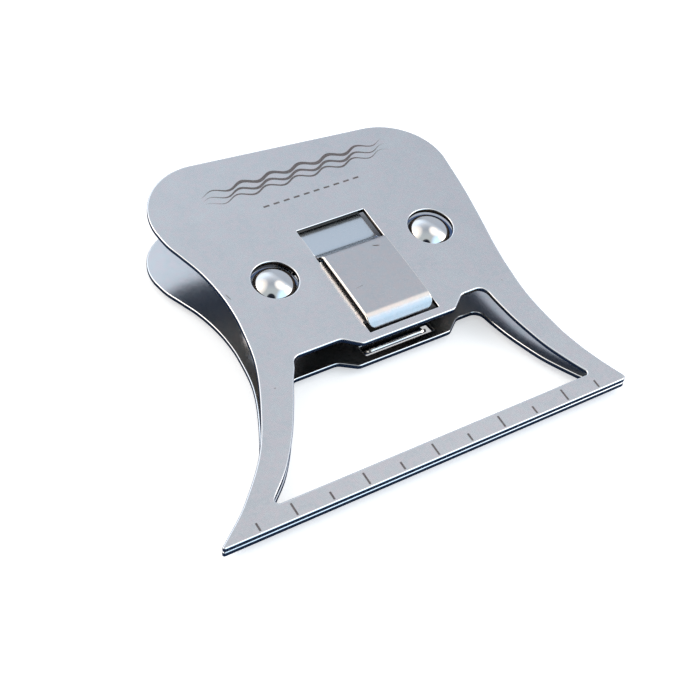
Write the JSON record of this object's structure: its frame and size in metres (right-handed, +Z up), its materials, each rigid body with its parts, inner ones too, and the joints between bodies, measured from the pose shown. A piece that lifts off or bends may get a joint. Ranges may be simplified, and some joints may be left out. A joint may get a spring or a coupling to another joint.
{
  "type": "fly tying spring clamp",
  "caption": "Flat steel spring clamp with a wide ruled jaw, a rounded handle, ball fulcrums and a C-shaped leaf spring.",
  "frame": {"origin": "on the lower plate's underside, in the middle of the jaw bar's width, at the ruler's zero mark", "axes": "+X along the jaw to the right seen from the jaw side above, +Y from the jaw to the handle, +Z up out of the lower plate"},
  "size_m": [0.0597, 0.0567, 0.0127],
  "materials": {
    "satin_plate": "fine satin, tumbled edges",
    "spring_strip": "rolled strip, half bright",
    "polished_ball": "mirror polished"
  },
  "bodies": {
    "lower": {"lower_plate": "satin_plate", "clamp_spring": "spring_strip"},
    "upper": {"upper_plate": "satin_plate"},
    "left_ball": {"ball_left": "polished_ball"},
    "right_ball": {"ball_right": "polished_ball"}
  },
  "joints": [
    {"name": "jaw_opening", "type": "hinge", "parent": "lower", "child": "upper", "pos_m": [0.0077, 0.03195, 0.00375], "axis": [-1, 0, 0], "range_deg": [0, 15], "stiffness_Nm_per_rad": 0.6, "springref_deg": -16.04, "deforming": ["clamp_spring"]},
    {"name": "left_ball_roll", "type": "hinge", "parent": "lower", "child": "left_ball", "pos_m": [-0.00465, 0.03195, 0.00375], "axis": [-1, 0, 0], "range_deg": [0, 7.5]},
    {"name": "right_ball_roll", "type": "hinge", "parent": "lower", "child": "right_ball", "pos_m": [0.02005, 0.03195, 0.00375], "axis": [-1, 0, 0], "range_deg": [0, 7.5]}
  ],
  "couplings": [
    {"joint": "left_ball_roll", "follows": "jaw_opening", "ratio": 0.5},
    {"joint": "right_ball_roll", "follows": "jaw_opening", "ratio": 0.5}
  ]
}
